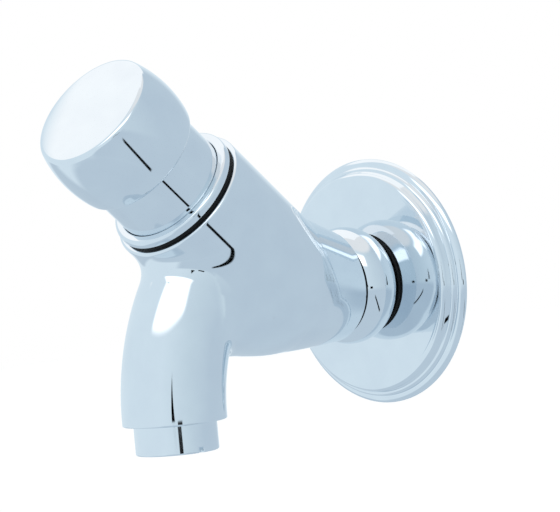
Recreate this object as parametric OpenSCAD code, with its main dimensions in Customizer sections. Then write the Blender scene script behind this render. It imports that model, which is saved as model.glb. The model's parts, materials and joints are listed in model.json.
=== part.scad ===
// Push timed tap for a wall: a pressed button opens the valve and a water brake lets it return slowly.
// The wall is the plane y = 0, the tap stands out towards -Y, and +Z is up.
// The origin is on the inlet axis, where the flange meets the wall. Sizes are in millimetres.

/* [Wall flange] */
// Outer diameter of the flange
flange_d = 74; // [68:1:90]
// Thickness of the outer edge
flange_edge_t = 0.5; // [0.3:0.1:0.8]
// Width of the rounded lip outside the steps
flange_lip_w = 2.2; // [1.6:0.2:3]
// Height of the lip where it meets the first step
flange_lip_h = 2; // [1.6:0.1:2.4]
// Radius of the lower rounded step
flange_step_r = 1.4; // [1.2:0.1:1.8]
// Radius of the upper rounded bead
flange_bead_r = 1.6; // [1.4:0.1:1.8]
// Height of the bead above the wall
flange_bead_h = 5.9; // [5.6:0.1:6.6]
// Height of the face beside the hub
flange_dish_t = 5; // [4.6:0.1:5.2]
// Thickness of the face over its hollow back
flange_face_t = 2; // [1.4:0.1:2.6]
// Radius of the hollow fillet that rises to the hub
flange_fillet_r = 0.8; // [0.6:0.1:1.2]
// Wall of the hub at its upper edge
flange_hub_wall = 0.7; // [0.5:0.1:1.2]
// Width of the soft ring in the back of the flange
gasket_w = 6; // [4:0.5:7]
// Thickness of the soft ring in the back of the flange
gasket_t = 1.6; // [1:0.1:1.8]

/* [Inlet tailpiece] */
// Outer diameter of the inlet thread, drawn as a plain cylinder
inlet_thread_d = 20.96; // [19:0.02:23]
// Length of the inlet thread behind the wall
inlet_thread_len = 16; // [10:1:30]
// Diameter of the waterway through the tailpiece
inlet_bore_d = 15; // [12:0.5:15.5]
// Diameter of the plain neck that passes through the flange
tail_neck_d = 24.6; // [23.6:0.2:26]
// Largest diameter of the turned collar
collar_d = 35.2; // [33:0.2:38]
// Diameter of the collar where it meets the body
collar_front_d = 30.6; // [29:0.2:31.6]
// Diameter of the collar where it meets the flange
collar_rear_d = 28; // [27.2:0.2:29]
// Distance from the front of the collar to its widest place
collar_peak = 5.8; // [4:0.2:6.6]
// Diameter of the spigot in the body
spigot_d = 24; // [21:0.5:25]
// Length of the spigot in the body
spigot_len = 10; // [8:0.5:10.5]
// Thickness of the seal between the collar and the body
inlet_seal_t = 0.8; // [0.6:0.1:1.4]
// Thickness of the perforated strainer
strainer_t = 1.5; // [1:0.1:2.5]

/* [Body] */
// Distance from the wall to the rear face of the body
arm_rear = 20; // [19:0.5:22]
// Diameter of the arm at its rear face
arm_rear_d = 32; // [31:0.2:34]
// Rounding of the rear edge of the arm
arm_rear_round = 2; // [1:0.2:2.6]
// Largest diameter of the arm
arm_d = 34.4; // [33:0.2:36]
// Diameter of the shoulder, which widens from the arm to the barrel, at its rear end
shoulder_d = 30.8; // [30:0.2:31.4]
// Diameter of the waterway in the arm
arm_bore_d = 16; // [12:0.5:17]
// Distance from the wall to where the barrel axis meets the inlet axis
barrel_cross = 41.6; // [40:0.2:44]
// Rise of the barrel axis above the level
barrel_tilt = 41.5; // [37:0.5:46]
// Diameter of the barrel
barrel_d = 43; // [42.4:0.2:47]
// Distance along the barrel axis from the inlet axis to the mouth
barrel_len = 49.7; // [48:0.1:53]
// Distance along the barrel axis from the inlet axis to the centre of the round end
barrel_ball = 8; // [7:0.2:10]
// Rounding of the edge of the mouth
barrel_edge_r = 0.8; // [0.4:0.1:1]
// Diameter of the spout
spout_d = 30.4; // [29:0.2:33]
// Distance from the wall to the outlet axis
spout_reach = 87.8; // [84:0.2:92]
// Drop from the inlet axis to the end of the spout
spout_drop = 32; // [29:0.5:40]
// Distance along the barrel axis from the inlet axis to where the spout axis meets it
spout_root = 27.4; // [26:0.2:30]
// Length of the straight end of the spout
spout_straight = 1; // [0.5:0.5:4]
// Diameter of the upright waterway in the spout
spout_bore_d = 19; // [15:0.5:20]
// Diameter of the slanted waterway from the barrel to the spout
outlet_bore_d = 14; // [10:0.5:14.5]
// Depth below the inlet axis where the two outlet waterways meet
outlet_elbow = 10; // [8:0.5:12]

/* [Aerator] */
// Diameter of the aerator ring
aerator_d = 24.2; // [23.8:0.2:28]
// Height of the aerator ring below the spout
aerator_h = 8.6; // [7:0.2:11]
// Diameter of the aerator thread, drawn as a plain cylinder
aerator_thread_d = 22; // [21.6:0.1:23]
// Length of the aerator thread
aerator_thread_len = 7; // [5:0.5:8]
// Wall of the aerator housing at the thread
aerator_wall = 1.2; // [0.9:0.1:1.5]
// Width of the lip that holds the insert
aerator_lip_w = 0.9; // [0.6:0.1:1.2]
// Thickness of the lip that holds the insert
aerator_lip_t = 1; // [0.7:0.1:1.5]
// Height of the jet insert
insert_h = 9; // [7:0.5:10]
// Thickness of the mesh screen
screen_t = 0.6; // [0.4:0.1:1]
// Thickness of the flat seal above the aerator
aerator_washer_t = 2; // [1.4:0.1:2.4]
// Width of a key notch in the rim
notch_w = 1.6; // [1.2:0.2:3]
// Height of a key notch in the rim
notch_h = 1.7; // [1:0.1:2]
// Number of key notches in the rim
notch_count = 2; // [2:1:8]
// Turn of the key notches about the outlet axis
notch_turn = -8; // [-45:1:45]

/* [Button] */
// Largest diameter of the button
button_d = 41; // [40:0.2:45]
// Height of the button
button_h = 23.6; // [22.6:0.2:27]
// Height of the widest place of the button above its lower edge
button_peak = 10.6; // [9:0.2:12]
// Radius of the swell of the side of the button
button_swell_r = 37.5; // [34:0.5:60]
// Rounding of the lower edge of the button
button_low_round = 2.4; // [1.6:0.1:2.6]
// Rounding of the upper edge of the button
button_top_round = 1.6; // [1:0.1:2.4]
// Height of the dome on the top of the button
button_dome_h = 0.9; // [0.4:0.1:1.6]
// Thickness of the top of the button
button_top_t = 4; // [3:0.1:4.4]
// Diameter of the neck tube
neck_d = 34.6; // [34:0.1:35]
// Wall of the neck tube
neck_wall = 1.7; // [1.2:0.1:2]
// Length of the neck that shows between ring and button
neck_show = 13.7; // [12:0.1:16]
// Length of the neck tube inside the button
neck_in_button = 5.3; // [4:0.1:6]
// Travel of the button when it is pressed
press_travel = 8; // [6:0.2:8.4]

/* [Bonnet ring] */
// Diameter of the head of the ring
ring_d = 40.4; // [39.6:0.1:42]
// Height of the head of the ring
ring_h = 2.5; // [2.2:0.1:3.6]
// Rounding of the upper edge of the head
ring_round = 1.2; // [0.6:0.1:1.4]
// Length of the threaded skirt in the barrel
ring_skirt = 13.7; // [13:0.1:15]
// Wall of the threaded skirt
ring_wall = 1.3; // [1:0.1:1.5]
// Thickness of the seal under the head
bonnet_seal_t = 1.3; // [0.8:0.1:1.6]
// Inset of the seal behind the edge of the head
bonnet_seal_inset = 0.15; // [0.05:0.05:0.4]

/* [Cartridge] */
// Height of the valve seat along the barrel axis, above the inlet axis
seat_u = 5; // [4.6:0.1:6]
// Diameter of the hole in the valve seat
seat_hole_d = 12; // [9:0.5:13]
// Thickness of the valve seat
seat_t = 3; // [2:0.2:3.2]
// Diameter of the inlet chamber below the seat
inlet_chamber_d = 20; // [19.4:0.2:21]
// Diameter of the cage
cage_d = 26.4; // [25.6:0.2:28]
// Diameter of the bore of the cage
cage_bore_d = 20; // [17:0.5:20.5]
// Length of the cage that sits in the casting
nose_len = 9; // [8:0.2:9.6]
// Diameter of the windows of the cage
window_d = 10; // [7:0.5:10.5]
// Diameter of the outlet chamber around the cage
outlet_chamber_d = 33; // [31:0.5:34]
// Height of the sealing land under the flange
land_h = 3.2; // [2.8:0.1:3.6]
// Thickness of the clamped flange
cart_flange_t = 3; // [2.4:0.1:3.6]
// Thickness of the wall that parts the cage from the brake cylinder
partition_t = 5; // [4.8:0.1:5.6]
// Diameter of the bore of the brake cylinder
brake_d = 24; // [22:0.2:24.4]
// Wall of the brake cylinder
brake_wall = 2.4; // [1.6:0.1:2.6]
// Thickness of the cap of the brake cylinder
cap_t = 2.3; // [1.6:0.1:3]
// Thickness of the rubber of the O-rings
o_ring_t = 1.8; // [1.4:0.1:1.9]

/* [Stem and piston] */
// Diameter of the stem
stem_d = 6; // [5:0.1:6.6]
// Diameter of the threaded foot of the stem
stem_foot_d = 4.8; // [3.6:0.1:4.8]
// Height of the piston
piston_h = 3.9; // [3.4:0.1:4.4]
// Height of the cup seal on the piston
lip_h = 1.9; // [1.4:0.1:2.2]
// Depth of the groove of the cup seal
lip_depth = 2; // [1.4:0.1:2.2]
// Thickness of the collar of the stem above the piston
stem_collar_t = 1; // [0.8:0.1:1.4]
// Thickness of the clip under the piston
clip_t = 1; // [0.6:0.1:1.2]
// Outer diameter of the stem collar and of the clip
clip_d = 10; // [9:0.2:10.4]
// Diameter of the metering screw
timing_screw_d = 2.4; // [1.6:0.1:2.6]
// Distance of the metering screw from the axis
timing_screw_r = 7.4; // [7:0.1:7.8]
// Diameter of the valve disc
valve_d = 16.6; // [15.6:0.2:17.2]
// Thickness of the valve disc
valve_disc_t = 2.5; // [2:0.1:3]
// Thickness of the valve washer
valve_washer_t = 1.6; // [1.2:0.1:2]
// Height of the nut under the valve disc
valve_nut_h = 2.5; // [2:0.1:3]
// Width across flats of the nut under the valve disc
valve_nut_af = 8; // [7:0.5:10]

/* [Button fixing and spring] */
// Diameter of the boss in the button
boss_d = 13; // [11:0.2:15]
// Length of the boss in the button
boss_len = 6; // [5:0.2:7]
// Height of the lock nut
locknut_h = 2.5; // [2:0.1:3]
// Width across flats of the lock nut
locknut_af = 10; // [9:0.5:12]
// Diameter of the upper spring seat
spring_cup_d = 24; // [22.4:0.2:27]
// Thickness of the upper spring seat
spring_cup_t = 1.6; // [1:0.1:2]
// Mean diameter of the spring
spring_d = 18; // [16:0.2:19]
// Diameter of the spring wire
spring_wire_d = 1.6; // [1.2:0.1:1.8]
// Number of turns of the spring
spring_turns = 7; // [6:1:8]

/* [Clearances] */
// Radial gap between fixed pieces that fit into each other
fit_gap = 0.1; // [0.05:0.05:0.15]
// Radial gap between the sliding neck tube and the ring
slide_gap = 0.3; // [0.25:0.05:0.4]
// Radial gap between the stem and what it slides in
stem_gap = 0.15; // [0.1:0.05:0.25]
// Gap that is left at each end of the travel
end_gap = 0.8; // [0.5:0.1:1]
// Gap between the valve washer and the seat at rest
seat_gap = 0.1; // [0.05:0.05:0.2]

/* [Hidden] */
$fn = 64;
arc_steps = 8;
cut = 1;
chrome = [0.74, 0.80, 0.85];
bright_brass = [0.80, 0.66, 0.36];
black_rubber = [0.07, 0.07, 0.08];
grey_foam = [0.45, 0.46, 0.48];
white_acetal = [0.90, 0.90, 0.88];
spring_steel = [0.62, 0.63, 0.65];

// Flange and tailpiece, as distances from the wall
flange_r = flange_d / 2;
tail_neck_r = tail_neck_d / 2;
flange_hole_r = tail_neck_r + fit_gap;
hub_r = flange_hole_r + flange_hub_wall;
hub_h = flange_dish_t + flange_fillet_r;
flange_web = 1.5;
lip_rise = flange_lip_h - flange_edge_t;
lip_arc_r = (flange_lip_w * flange_lip_w + lip_rise * lip_rise) / (2 * lip_rise);
lip_centre = [flange_r - flange_lip_w, flange_lip_h - lip_arc_r];
lip_angle = acos(flange_lip_w / lip_arc_r);
step_centre = [flange_r - flange_lip_w - flange_step_r, flange_lip_h];
step_inset = 0.3;
bead_centre = [step_centre[0] - step_inset - flange_bead_r, flange_bead_h - flange_bead_r];
bead_inner_angle = 120;
gasket_out_r = bead_centre[0] + flange_bead_r - step_inset;
gasket_in_r = gasket_out_r - gasket_w;
collar_front = arm_rear - inlet_seal_t;
collar_mid = collar_front - collar_peak;
collar_drop = (collar_d - collar_front_d) / 2;
collar_arc_r = (collar_peak * collar_peak + collar_drop * collar_drop) / (2 * collar_drop);
collar_arc_x = collar_d / 2 - collar_arc_r;
collar_front_angle = asin(collar_peak / collar_arc_r);
collar_rear_angle = -40;
spigot_r = spigot_d / 2;
spigot_bore_r = spigot_r + fit_gap;
spigot_end = collar_front + inlet_seal_t + spigot_len;
spigot_groove_mid = arm_rear + spigot_len / 2;
strainer_seat_w = 0.8;
strainer_r = inlet_bore_d / 2 + fit_gap + strainer_seat_w;
strainer_hole_d = 1.8;
strainer_pitch = 3.2;

// Places along the barrel axis, from where it meets the inlet axis
barrel_r = barrel_d / 2;
neck_r = neck_d / 2;
neck_bore_r = neck_r - neck_wall;
ring_bore_r = neck_r + slide_gap;
ring_skirt_r = ring_bore_r + ring_wall;
mouth_r = ring_skirt_r + fit_gap;
mouth_u = barrel_len;
ring_under_u = mouth_u + bonnet_seal_t;
ring_top_u = ring_under_u + ring_h;
button_low_u = ring_top_u + neck_show;
button_top_u = button_low_u + button_h;
cart_flange_top_u = mouth_u - ring_skirt;
shoulder_u = cart_flange_top_u - cart_flange_t;
land_low_u = shoulder_u - land_h;
land_groove_u = (land_low_u + shoulder_u) / 2;
partition_rise = 1;
partition_top_u = shoulder_u + partition_rise;
partition_low_u = partition_top_u - partition_t;
nose_top_u = seat_u + nose_len;
nose_groove_u = seat_u + nose_len / 2;
window_u = (nose_top_u + land_low_u) / 2;
valve_washer_top_u = seat_u - seat_gap;
valve_disc_top_u = valve_washer_top_u - valve_washer_t;
valve_disc_low_u = valve_disc_top_u - valve_disc_t;
valve_nut_low_u = valve_disc_low_u - valve_nut_h;
inlet_chamber_low_u = valve_nut_low_u - press_travel - end_gap;
clip_low_u = partition_top_u + press_travel + end_gap;
piston_low_u = clip_low_u + clip_t;
piston_top_u = piston_low_u + piston_h;
stem_collar_top_u = piston_top_u + stem_collar_t;
cap_plug_h = 0.6;
cap_plug_low_u = stem_collar_top_u + end_gap;
brake_top_u = cap_plug_low_u + cap_plug_h;
cap_top_u = brake_top_u + cap_t;
sleeve_low_u = cart_flange_top_u + press_travel + end_gap;
sleeve_top_u = button_low_u + neck_in_button;
ceiling_u = button_top_u - button_top_t;
boss_low_u = ceiling_u - boss_len;
locknut_low_u = boss_low_u - locknut_h;
spring_cup_low_u = locknut_low_u - spring_cup_t;

// Radii about the barrel axis
cage_r = cage_d / 2;
nose_bore_r = cage_r + fit_gap;
outlet_chamber_r = outlet_chamber_d / 2;
land_r = outlet_chamber_r - fit_gap;
brake_r = brake_d / 2;
brake_out_r = brake_r + brake_wall;
stem_r = stem_d / 2;
stem_bore_r = stem_r + stem_gap;
gland_r = stem_bore_r + o_ring_t + fit_gap;
gland_lip_r = stem_bore_r + slide_gap;
gland_lip_t = 0.8;
stem_seal_u = partition_low_u + gland_lip_t + fit_gap + o_ring_t / 2;
guide_bush_low_u = stem_seal_u + o_ring_t / 2 + fit_gap;
piston_r = brake_r - slide_gap;
lip_r = brake_r - slide_gap / 2;
wiper_h = 1.6;
wiper_w = 0.9;
wiper_drop = 0.6;
wiper_low_u = ring_under_u - wiper_drop;

// Spout and its waterways
spout_r = spout_d / 2;
spout_root_out = spout_reach - barrel_cross - spout_root * cos(barrel_tilt);
spout_root_rise = spout_root * sin(barrel_tilt) + spout_drop - spout_straight;
spout_bend_r = (pow(spout_root_out, 2) + pow(spout_root_rise, 2)) / (2 * spout_root_out);
spout_turn = atan2(spout_root_rise, spout_bend_r - spout_root_out);
bend_centre = [0, spout_bend_r - spout_reach, spout_straight - spout_drop];
shoulder_r = shoulder_d / 2;
shoulder_inset = 0.85;
shoulder_lead = 4;
shoulder_ball_r = barrel_r - shoulder_inset;
shoulder_run = [
    barrel_cross + barrel_ball * cos(barrel_tilt) - arm_rear,
    barrel_ball * sin(barrel_tilt)
];
shoulder_len = norm(shoulder_run);
shoulder_rise = atan2(shoulder_run[1], shoulder_run[0]);
shoulder_flare = asin((shoulder_ball_r - shoulder_r) / shoulder_len);
shoulder_end = shoulder_len - shoulder_ball_r * sin(shoulder_flare);
arm_tip_back = 10;
arm_tip_inset = 0.4;
arm_tip = spout_reach - arm_tip_back;
arm_tip_r = spout_r - arm_tip_inset;
aerator_thread_r = aerator_thread_d / 2;
aerator_bore_r = aerator_thread_r + fit_gap;
aerator_bore_depth = aerator_thread_len + aerator_washer_t;
aerator_in_r = aerator_thread_r - aerator_wall;
insert_r = aerator_in_r - fit_gap;
insert_low = aerator_lip_t - aerator_h;
insert_hole_d = 2.6;
insert_pitch = 3.5;
elbow_to_axis = [
    spout_reach - barrel_cross - window_u * cos(barrel_tilt),
    outlet_elbow + window_u * sin(barrel_tilt)
];
outlet_rise = atan2(elbow_to_axis[1], elbow_to_axis[0]);
outlet_len = norm(elbow_to_axis);

// Spring
spring_gap = 0.2;
spring_ring_steps = 16;
spring_sides = 8;
spring_closed_turns = 1;
spring_closed_gap = 0.5;

// Points of an arc about a centre, from one angle to another
function arc(centre, r, from, to, steps = arc_steps) =
    [for (i = [0:steps]) let (a = from + (to - from) * i / steps) centre + r * [cos(a), sin(a)]];

// Radius of the shoulder's cone at a distance along its axis from the rear face of the arm
function shoulder_radius(along) = (shoulder_r + along * sin(shoulder_flare)) / cos(shoulder_flare);

// Frames of the three axes: the z of each runs along its axis
module on_inlet() rotate([90, 0, 0]) children();
module on_barrel() translate([0, -barrel_cross, 0]) rotate([90 - barrel_tilt, 0, 0]) children();
module on_outlet() translate([0, -spout_reach, -spout_drop]) children();

// A turned ring with a square section
module ring(in_r, out_r, low, high) {
    rotate_extrude() translate([in_r, low]) square([out_r - in_r, high - low]);
}

// A round rubber ring, given by the radius of its outside
module o_ring(out_r, level) {
    rotate_extrude() translate([out_r - o_ring_t / 2, level]) circle(d = o_ring_t);
}

// The room that an O-ring takes in a shaft of the given radius
module o_ring_groove(shaft_r, level) {
    half = o_ring_t / 2 + fit_gap;
    ring(shaft_r - o_ring_t - fit_gap, shaft_r + cut, level - half, level + half);
}

// A hexagon nut with a round hole
module hex_nut(flats, hole_r, low, high) {
    translate([0, 0, low]) difference() {
        cylinder(d = flats / cos(30), h = high - low, $fn = 6);
        translate([0, 0, -cut]) cylinder(r = hole_r, h = high - low + 2 * cut);
    }
}

// Round holes on a grid of triangles, as far as they fit in a circle
module hole_grid(hole_d, pitch, reach, low, high) {
    rows = floor(reach / pitch) + 1;
    for (i = [-rows:rows], j = [-rows:rows]) {
        place = pitch * [i + j / 2, j * sin(60)];
        if (norm(place) + hole_d / 2 < reach) {
            translate([place[0], place[1], low]) cylinder(d = hole_d, h = high - low, $fn = 24);
        }
    }
}

// Casting: the barrel with its round lower end
module barrel_shape() {
    rotate_extrude() {
        polygon(concat(
            [[0, barrel_ball], [barrel_r, barrel_ball]],
            arc([barrel_r - barrel_edge_r, mouth_u - barrel_edge_r], barrel_edge_r, 0, 90),
            [[0, mouth_u]]
        ));
        translate([0, barrel_ball]) intersection() {
            circle(r = barrel_r);
            translate([0, -barrel_r]) square(barrel_r);
        }
    }
}

// Casting: the arm, which swells towards the barrel and narrows again into the spout
module arm_shape() {
    round_centre = [arm_rear_d / 2 - arm_rear_round, arm_rear + arm_rear_round];
    rotate_extrude() polygon(concat(
        [[0, arm_rear]],
        arc(round_centre, arm_rear_round, -90, 0),
        [[arm_d / 2, barrel_cross], [arm_tip_r, arm_tip], [0, arm_tip]]
    ));
}

// Casting: the shoulder, a cone from the rear face of the arm to the round end of the barrel
module shoulder_shape() {
    difference() {
        translate([0, -arm_rear, 0]) rotate([90 - shoulder_rise, 0, 0]) rotate_extrude() polygon([
            [0, -shoulder_lead], [shoulder_radius(-shoulder_lead), -shoulder_lead],
            [shoulder_radius(shoulder_end), shoulder_end], [0, shoulder_end]
        ]);
        on_inlet() cylinder(d = 2 * arm_d, h = arm_rear);
    }
}

// Casting: the bent spout with its short straight end
module spout_shape() {
    translate(bend_centre) rotate([90, 0, -90]) {
        rotate_extrude(angle = spout_turn) translate([spout_bend_r, 0]) circle(r = spout_r);
    }
    on_outlet() cylinder(r = spout_r, h = spout_straight);
}

// The stepped room for the cartridge, from the inlet chamber to the mouth
module barrel_room() {
    rotate_extrude() polygon([
        [0, inlet_chamber_low_u], [inlet_chamber_d / 2, inlet_chamber_low_u],
        [inlet_chamber_d / 2, seat_u], [nose_bore_r, seat_u],
        [nose_bore_r, nose_top_u], [outlet_chamber_r, nose_top_u],
        [outlet_chamber_r, shoulder_u], [mouth_r, shoulder_u],
        [mouth_r, mouth_u + cut], [0, mouth_u + cut]
    ]);
}

// The stepped room for the tailpiece, which leads into the inlet chamber
module arm_room() {
    rotate_extrude() polygon([
        [0, arm_rear - cut], [spigot_bore_r, arm_rear - cut], [spigot_bore_r, spigot_end + fit_gap],
        [arm_bore_d / 2, spigot_end + fit_gap], [arm_bore_d / 2, barrel_cross], [0, barrel_cross]
    ]);
}

// The waterway from the outlet chamber through the spout, and the seat of the aerator
module spout_room() {
    bore_top = spout_drop - outlet_elbow + spout_bore_d / 4;
    on_outlet() rotate_extrude() polygon([
        [0, -cut], [aerator_bore_r, -cut], [aerator_bore_r, aerator_bore_depth],
        [spout_bore_d / 2, aerator_bore_depth], [spout_bore_d / 2, bore_top], [0, bore_top]
    ]);
    translate([0, -spout_reach, -outlet_elbow]) rotate([outlet_rise - 90, 0, 0]) {
        cylinder(d = outlet_bore_d, h = outlet_len);
    }
}

module tap_body() {
    color(chrome) difference() {
        union() {
            on_barrel() barrel_shape();
            on_inlet() arm_shape();
            shoulder_shape();
            spout_shape();
        }
        on_barrel() barrel_room();
        on_inlet() arm_room();
        spout_room();
    }
}

module wall_flange() {
    color(chrome) on_inlet() difference() {
        rotate_extrude() polygon(concat(
            [[flange_hole_r, 0], [flange_r, 0]],
            arc(lip_centre, lip_arc_r, lip_angle, 90),
            arc(step_centre, flange_step_r, 0, 90),
            arc(bead_centre, flange_bead_r, 0, bead_inner_angle),
            arc([hub_r + flange_fillet_r, hub_h], flange_fillet_r, 270, 180),
            [[flange_hole_r, hub_h]]
        ));
        ring(gasket_in_r, gasket_out_r, -cut, gasket_t);
        ring(hub_r + flange_web, gasket_in_r - flange_web, -cut, flange_dish_t - flange_face_t);
    }
}

module flange_gasket() {
    color(grey_foam) on_inlet() ring(gasket_in_r + fit_gap, gasket_out_r - fit_gap, 0, gasket_t);
}

module inlet_tailpiece() {
    color(chrome) on_inlet() difference() {
        rotate_extrude() polygon(concat(
            [[inlet_bore_d / 2, -inlet_thread_len], [inlet_thread_d / 2, -inlet_thread_len]],
            [[inlet_thread_d / 2, 0], [tail_neck_r, 0], [tail_neck_r, hub_h], [collar_rear_d / 2, hub_h]],
            arc([collar_arc_x, collar_mid], collar_arc_r, collar_rear_angle, collar_front_angle),
            [[spigot_r, collar_front], [spigot_r, spigot_end], [inlet_bore_d / 2, spigot_end]]
        ));
        o_ring_groove(spigot_r, spigot_groove_mid);
        translate([0, 0, -inlet_thread_len - cut]) cylinder(r = strainer_r, h = strainer_t + cut);
    }
}

module inlet_seal() {
    color(black_rubber) on_inlet() {
        ring(spigot_r + fit_gap, collar_front_d / 2 - fit_gap, collar_front, arm_rear);
    }
}

module tailpiece_o_ring() {
    color(black_rubber) on_inlet() o_ring(spigot_r + fit_gap / 2, spigot_groove_mid);
}

module inlet_strainer() {
    color(spring_steel) on_inlet() difference() {
        translate([0, 0, -inlet_thread_len]) cylinder(r = strainer_r - fit_gap, h = strainer_t);
        hole_grid(strainer_hole_d, strainer_pitch, inlet_bore_d / 2 - fit_gap, -inlet_thread_len - cut, 0);
    }
}

module aerator_housing() {
    edge = 0.5;
    notch_floor_r = aerator_in_r + aerator_lip_w;
    color(chrome) on_outlet() difference() {
        rotate_extrude() polygon([
            [aerator_in_r - aerator_lip_w, -aerator_h], [aerator_d / 2 - edge, -aerator_h],
            [aerator_d / 2, edge - aerator_h], [aerator_d / 2, 0], [aerator_thread_r, 0],
            [aerator_thread_r, aerator_thread_len], [aerator_in_r, aerator_thread_len],
            [aerator_in_r, insert_low], [aerator_in_r - aerator_lip_w, insert_low]
        ]);
        for (i = [0:notch_count - 1]) {
            rotate([0, 0, notch_turn + i * 360 / notch_count]) {
                translate([notch_floor_r, -notch_w / 2, -aerator_h - cut]) {
                    cube([aerator_d, notch_w, notch_h + cut]);
                }
            }
        }
    }
}

module aerator_insert() {
    color(white_acetal) on_outlet() difference() {
        translate([0, 0, insert_low]) cylinder(r = insert_r, h = insert_h);
        hole_grid(insert_hole_d, insert_pitch, aerator_in_r - aerator_lip_w, -aerator_h, insert_h);
    }
}

module aerator_screen() {
    color(spring_steel) on_outlet() difference() {
        translate([0, 0, insert_low + insert_h]) cylinder(r = insert_r, h = screen_t);
        hole_grid(strainer_hole_d, strainer_pitch, insert_r - aerator_lip_w, 0, insert_h);
    }
}

module aerator_washer() {
    color(black_rubber) on_outlet() {
        ring(aerator_in_r - aerator_lip_w, aerator_thread_r, aerator_thread_len, aerator_bore_depth);
    }
}

module bonnet_ring() {
    head_r = ring_d / 2;
    color(chrome) on_barrel() difference() {
        rotate_extrude() polygon(concat(
            [[ring_bore_r, cart_flange_top_u], [ring_skirt_r, cart_flange_top_u]],
            [[ring_skirt_r, ring_under_u], [head_r, ring_under_u]],
            arc([head_r - ring_round, ring_top_u - ring_round], ring_round, 0, 90),
            [[ring_bore_r, ring_top_u]]
        ));
        ring(ring_bore_r - cut, ring_bore_r + wiper_w, wiper_low_u, wiper_low_u + wiper_h);
    }
}

module bonnet_seal() {
    color(black_rubber) on_barrel() {
        ring(ring_skirt_r + fit_gap, ring_d / 2 - bonnet_seal_inset, mouth_u, ring_under_u);
    }
}

module neck_wiper() {
    color(black_rubber) on_barrel() {
        ring(neck_r + slide_gap / 2, ring_bore_r + wiper_w - fit_gap, wiper_low_u, wiper_low_u + wiper_h);
    }
}

module cartridge_body() {
    color(bright_brass) on_barrel() difference() {
        rotate_extrude() polygon([
            [0, seat_u], [cage_r, seat_u], [cage_r, land_low_u], [land_r, land_low_u],
            [land_r, shoulder_u], [ring_skirt_r, shoulder_u], [ring_skirt_r, cart_flange_top_u],
            [brake_out_r, cart_flange_top_u], [brake_out_r, brake_top_u], [0, brake_top_u]
        ]);
        rotate_extrude() polygon([
            [0, seat_u - cut], [seat_hole_d / 2, seat_u - cut], [seat_hole_d / 2, seat_u + seat_t],
            [cage_bore_d / 2, seat_u + seat_t], [cage_bore_d / 2, partition_low_u],
            [gland_lip_r, partition_low_u], [gland_lip_r, partition_low_u + gland_lip_t],
            [gland_r, partition_low_u + gland_lip_t], [gland_r, partition_top_u],
            [brake_r, partition_top_u], [brake_r, brake_top_u + cut], [0, brake_top_u + cut]
        ]);
        o_ring_groove(cage_r, nose_groove_u);
        o_ring_groove(land_r, land_groove_u);
        for (turn = [0, 90]) {
            translate([0, 0, window_u]) rotate([90, 0, turn]) {
                cylinder(d = window_d, h = 2 * cage_d, center = true);
            }
        }
    }
}

module cartridge_cap() {
    color(bright_brass) on_barrel() rotate_extrude() polygon([
        [stem_bore_r, cap_plug_low_u], [brake_r - fit_gap, cap_plug_low_u],
        [brake_r - fit_gap, brake_top_u], [brake_out_r, brake_top_u],
        [brake_out_r, cap_top_u], [stem_bore_r, cap_top_u]
    ]);
}

module seat_o_ring() {
    color(black_rubber) on_barrel() o_ring(cage_r + fit_gap / 2, nose_groove_u);
}

module land_o_ring() {
    color(black_rubber) on_barrel() o_ring(land_r + fit_gap / 2, land_groove_u);
}

module guide_bush() {
    color(white_acetal) on_barrel() ring(stem_bore_r, gland_r - fit_gap, guide_bush_low_u, partition_top_u);
}

module stem_seal() {
    color(black_rubber) on_barrel() o_ring(gland_r - fit_gap, stem_seal_u);
}

// Height of the spring wire's centre after some turns: closed turns at both ends, open ones between
function spring_rise(turn, free) =
    let (closed = spring_wire_d + spring_closed_gap)
    let (open = (free - 2 * spring_closed_turns * closed) / (spring_turns - 2 * spring_closed_turns))
    turn < spring_closed_turns ? turn * closed :
    turn > spring_turns - spring_closed_turns ? free - (spring_turns - turn) * closed :
    spring_closed_turns * closed + (turn - spring_closed_turns) * open;

module return_spring() {
    wire_r = spring_wire_d / 2;
    low = cap_top_u + spring_gap + wire_r;
    free = spring_cup_low_u - spring_gap - wire_r - low;
    rings = spring_turns * spring_ring_steps;
    line = [for (k = [0:rings]) let (turn = k / spring_ring_steps)
        [spring_d / 2 * cos(360 * turn), spring_d / 2 * sin(360 * turn), low + spring_rise(turn, free)]];
    points = [for (k = [0:rings], s = [0:spring_sides - 1])
        let (around = 360 * k / spring_ring_steps, side = 360 * s / spring_sides)
        line[k] + wire_r * [cos(side) * cos(around), cos(side) * sin(around), sin(side)]];
    walls = [for (k = [0:rings - 1], s = [0:spring_sides - 1])
        let (next = (s + 1) % spring_sides, a = k * spring_sides, b = a + spring_sides)
        each [[a + s, b + s, a + next], [a + next, b + s, b + next]]];
    first_end = [for (s = [1:spring_sides - 2]) [0, s, s + 1]];
    last = rings * spring_sides;
    last_end = [for (s = [1:spring_sides - 2]) [last, last + s + 1, last + s]];
    least_gap = min([for (k = [0:rings - spring_ring_steps]) norm(line[k + spring_ring_steps] - line[k])]);
    echo(least_gap_between_turns = least_gap - spring_wire_d);
    color(spring_steel) on_barrel() polyhedron(points, concat(walls, first_end, last_end));
}

// Half width of the button at a height above its lower edge: a wide arc about its widest place
function button_side(level) =
    button_d / 2 - button_swell_r + sqrt(pow(button_swell_r, 2) - pow(level - button_peak, 2));

// The room in the button: the socket of the neck tube, the hollow around the boss and the stem's hole
module button_room() {
    ceiling = button_h - button_top_t;
    boss_low = ceiling - boss_len;
    socket_r = neck_r + fit_gap;
    hole_r = stem_r + fit_gap;
    rotate_extrude() polygon([
        [0, -cut], [socket_r, -cut], [socket_r, neck_in_button], [neck_bore_r, neck_in_button],
        [neck_bore_r, ceiling], [boss_d / 2, ceiling], [boss_d / 2, boss_low],
        [hole_r, boss_low], [hole_r, ceiling], [0, ceiling]
    ]);
}

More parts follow.
